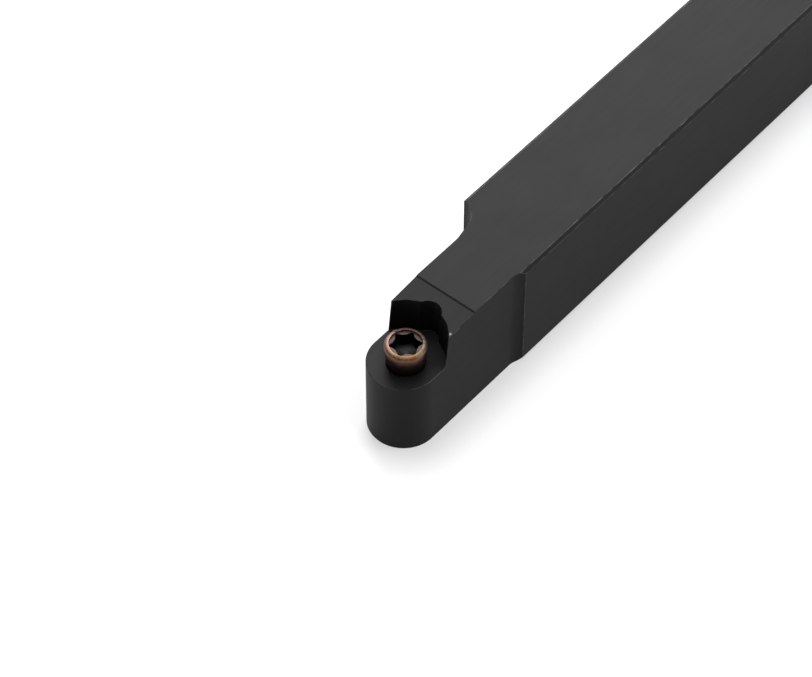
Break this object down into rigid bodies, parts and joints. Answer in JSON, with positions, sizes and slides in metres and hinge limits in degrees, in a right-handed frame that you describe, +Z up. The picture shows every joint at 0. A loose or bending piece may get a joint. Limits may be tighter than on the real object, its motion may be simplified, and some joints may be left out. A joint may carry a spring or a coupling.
{
  "type": "external turning tool holder",
  "caption": "Square-shouldered steel turning tool holder with a rounded nose, an open seat for a round insert and a six-lobe socket insert screw.",
  "frame": {"origin": "middle of the underside's rectangle, on the surface that the holder stands on", "axes": "+X along the shank from the nose to the rear end, -Y the cutting side, +Z up"},
  "size_m": [0.125, 0.016, 0.02],
  "materials": {
    "blackened_steel": "black oxide over milled and ground steel, satin",
    "bronze_toned_steel": "heat-toned brown to violet, semi-gloss"
  },
  "bodies": {
    "holder": {"holder_body": "blackened_steel"},
    "screw": {"insert_screw": "bronze_toned_steel"}
  },
  "joints": [
    {"name": "screw_lift", "type": "slide", "parent": "holder", "child": "screw", "axis": [0, 0, 1], "range_m": [0, 0.0125]}
  ]
}
